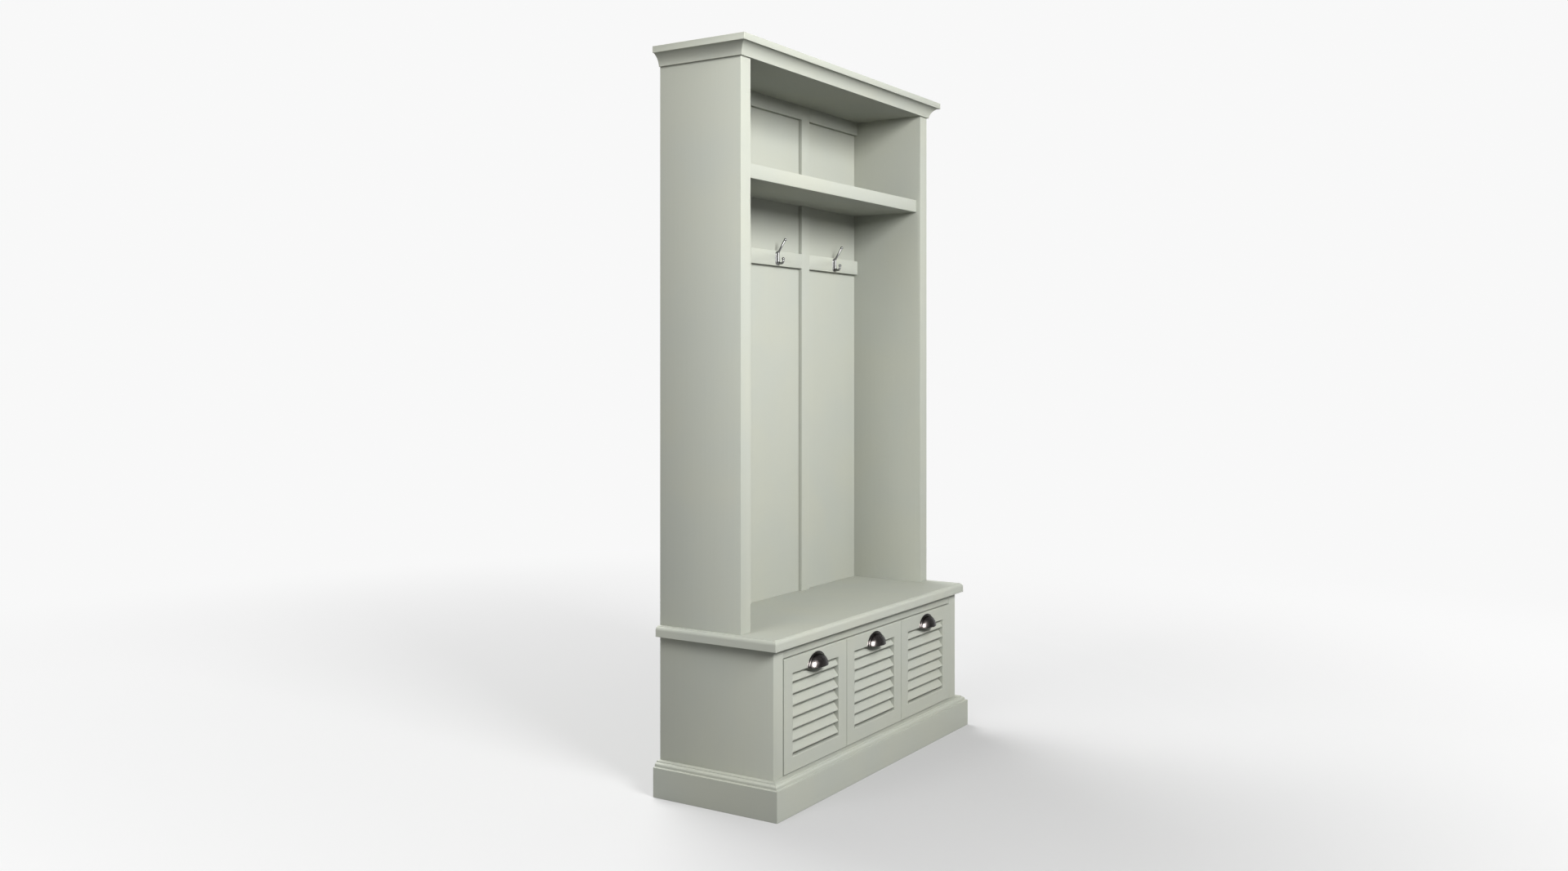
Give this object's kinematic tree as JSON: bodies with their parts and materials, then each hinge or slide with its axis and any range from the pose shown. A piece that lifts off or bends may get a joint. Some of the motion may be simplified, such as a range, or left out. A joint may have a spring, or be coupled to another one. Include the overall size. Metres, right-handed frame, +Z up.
{
  "type": "hall stand with louvred drawers",
  "caption": "Painted hall stand: a bench base with louvred drawers and cup pulls under an open coat hutch with coat hooks, a shelf and a moulded cornice.",
  "frame": {"origin": "on the floor, in the middle of the footprint: halfway across the width, and halfway between the back plane and the plinth's front face", "axes": "+Z up, -Y out of the front towards the user, +X to the right as seen from the front"},
  "size_m": [1.13, 0.3936, 2],
  "materials": {
    "painted_wood": "satin pale sage paint on wood",
    "drawer_wood": "clear-sealed pale hardwood",
    "hook_chrome": "polished chrome",
    "pull_metal": "polished dark bronze lacquer",
    "screw_steel": "plain steel"
  },
  "bodies": {
    "carcass": {"back_top_rails": "painted_wood", "base_back": "painted_wood", "base_floor": "painted_wood", "base_floor_rail": "painted_wood", "base_left_side": "painted_wood", "base_right_side": "painted_wood", "base_top_rail": "painted_wood", "bench_top": "painted_wood", "cornice_cap": "painted_wood", "cove_front": "painted_wood", "cove_left": "painted_wood", "cove_right": "painted_wood", "drawer_runners": "drawer_wood", "hook_rails": "painted_wood", "hook_screws": "screw_steel", "hutch_back": "painted_wood", "hutch_dowels": "drawer_wood", "hutch_left_side": "painted_wood", "hutch_right_side": "painted_wood", "hutch_top": "painted_wood", "left_batten": "painted_wood", "right_batten": "painted_wood", "left_coat_hook": "hook_chrome", "middle_coat_hook": "hook_chrome", "right_coat_hook": "hook_chrome", "left_divider": "painted_wood", "right_divider": "painted_wood", "plinth_front": "painted_wood", "plinth_left": "painted_wood", "plinth_right": "painted_wood", "runner_screws": "screw_steel", "shelf": "painted_wood"},
    "left_drawer": {"left_drawer_box_back": "drawer_wood", "left_drawer_box_bottom": "drawer_wood", "left_drawer_box_front": "drawer_wood", "left_drawer_box_sides": "drawer_wood", "left_drawer_cup_pull": "pull_metal", "left_drawer_front_rails": "painted_wood", "left_drawer_front_stiles": "painted_wood", "left_drawer_louvre_slats": "painted_wood", "left_drawer_pull_screws": "screw_steel"},
    "middle_drawer": {"middle_drawer_box_back": "drawer_wood", "middle_drawer_box_bottom": "drawer_wood", "middle_drawer_box_front": "drawer_wood", "middle_drawer_box_sides": "drawer_wood", "middle_drawer_cup_pull": "pull_metal", "middle_drawer_front_rails": "painted_wood", "middle_drawer_front_stiles": "painted_wood", "middle_drawer_louvre_slats": "painted_wood", "middle_drawer_pull_screws": "screw_steel"},
    "right_drawer": {"right_drawer_box_back": "drawer_wood", "right_drawer_box_bottom": "drawer_wood", "right_drawer_box_front": "drawer_wood", "right_drawer_box_sides": "drawer_wood", "right_drawer_cup_pull": "pull_metal", "right_drawer_front_rails": "painted_wood", "right_drawer_front_stiles": "painted_wood", "right_drawer_louvre_slats": "painted_wood", "right_drawer_pull_screws": "screw_steel"}
  },
  "joints": [
    {"name": "left_drawer_slide", "type": "slide", "parent": "carcass", "child": "left_drawer", "axis": [0, -1, 0], "range_m": [0, 0.24]},
    {"name": "middle_drawer_slide", "type": "slide", "parent": "carcass", "child": "middle_drawer", "axis": [0, -1, 0], "range_m": [0, 0.24]},
    {"name": "right_drawer_slide", "type": "slide", "parent": "carcass", "child": "right_drawer", "axis": [0, -1, 0], "range_m": [0, 0.24]}
  ]
}
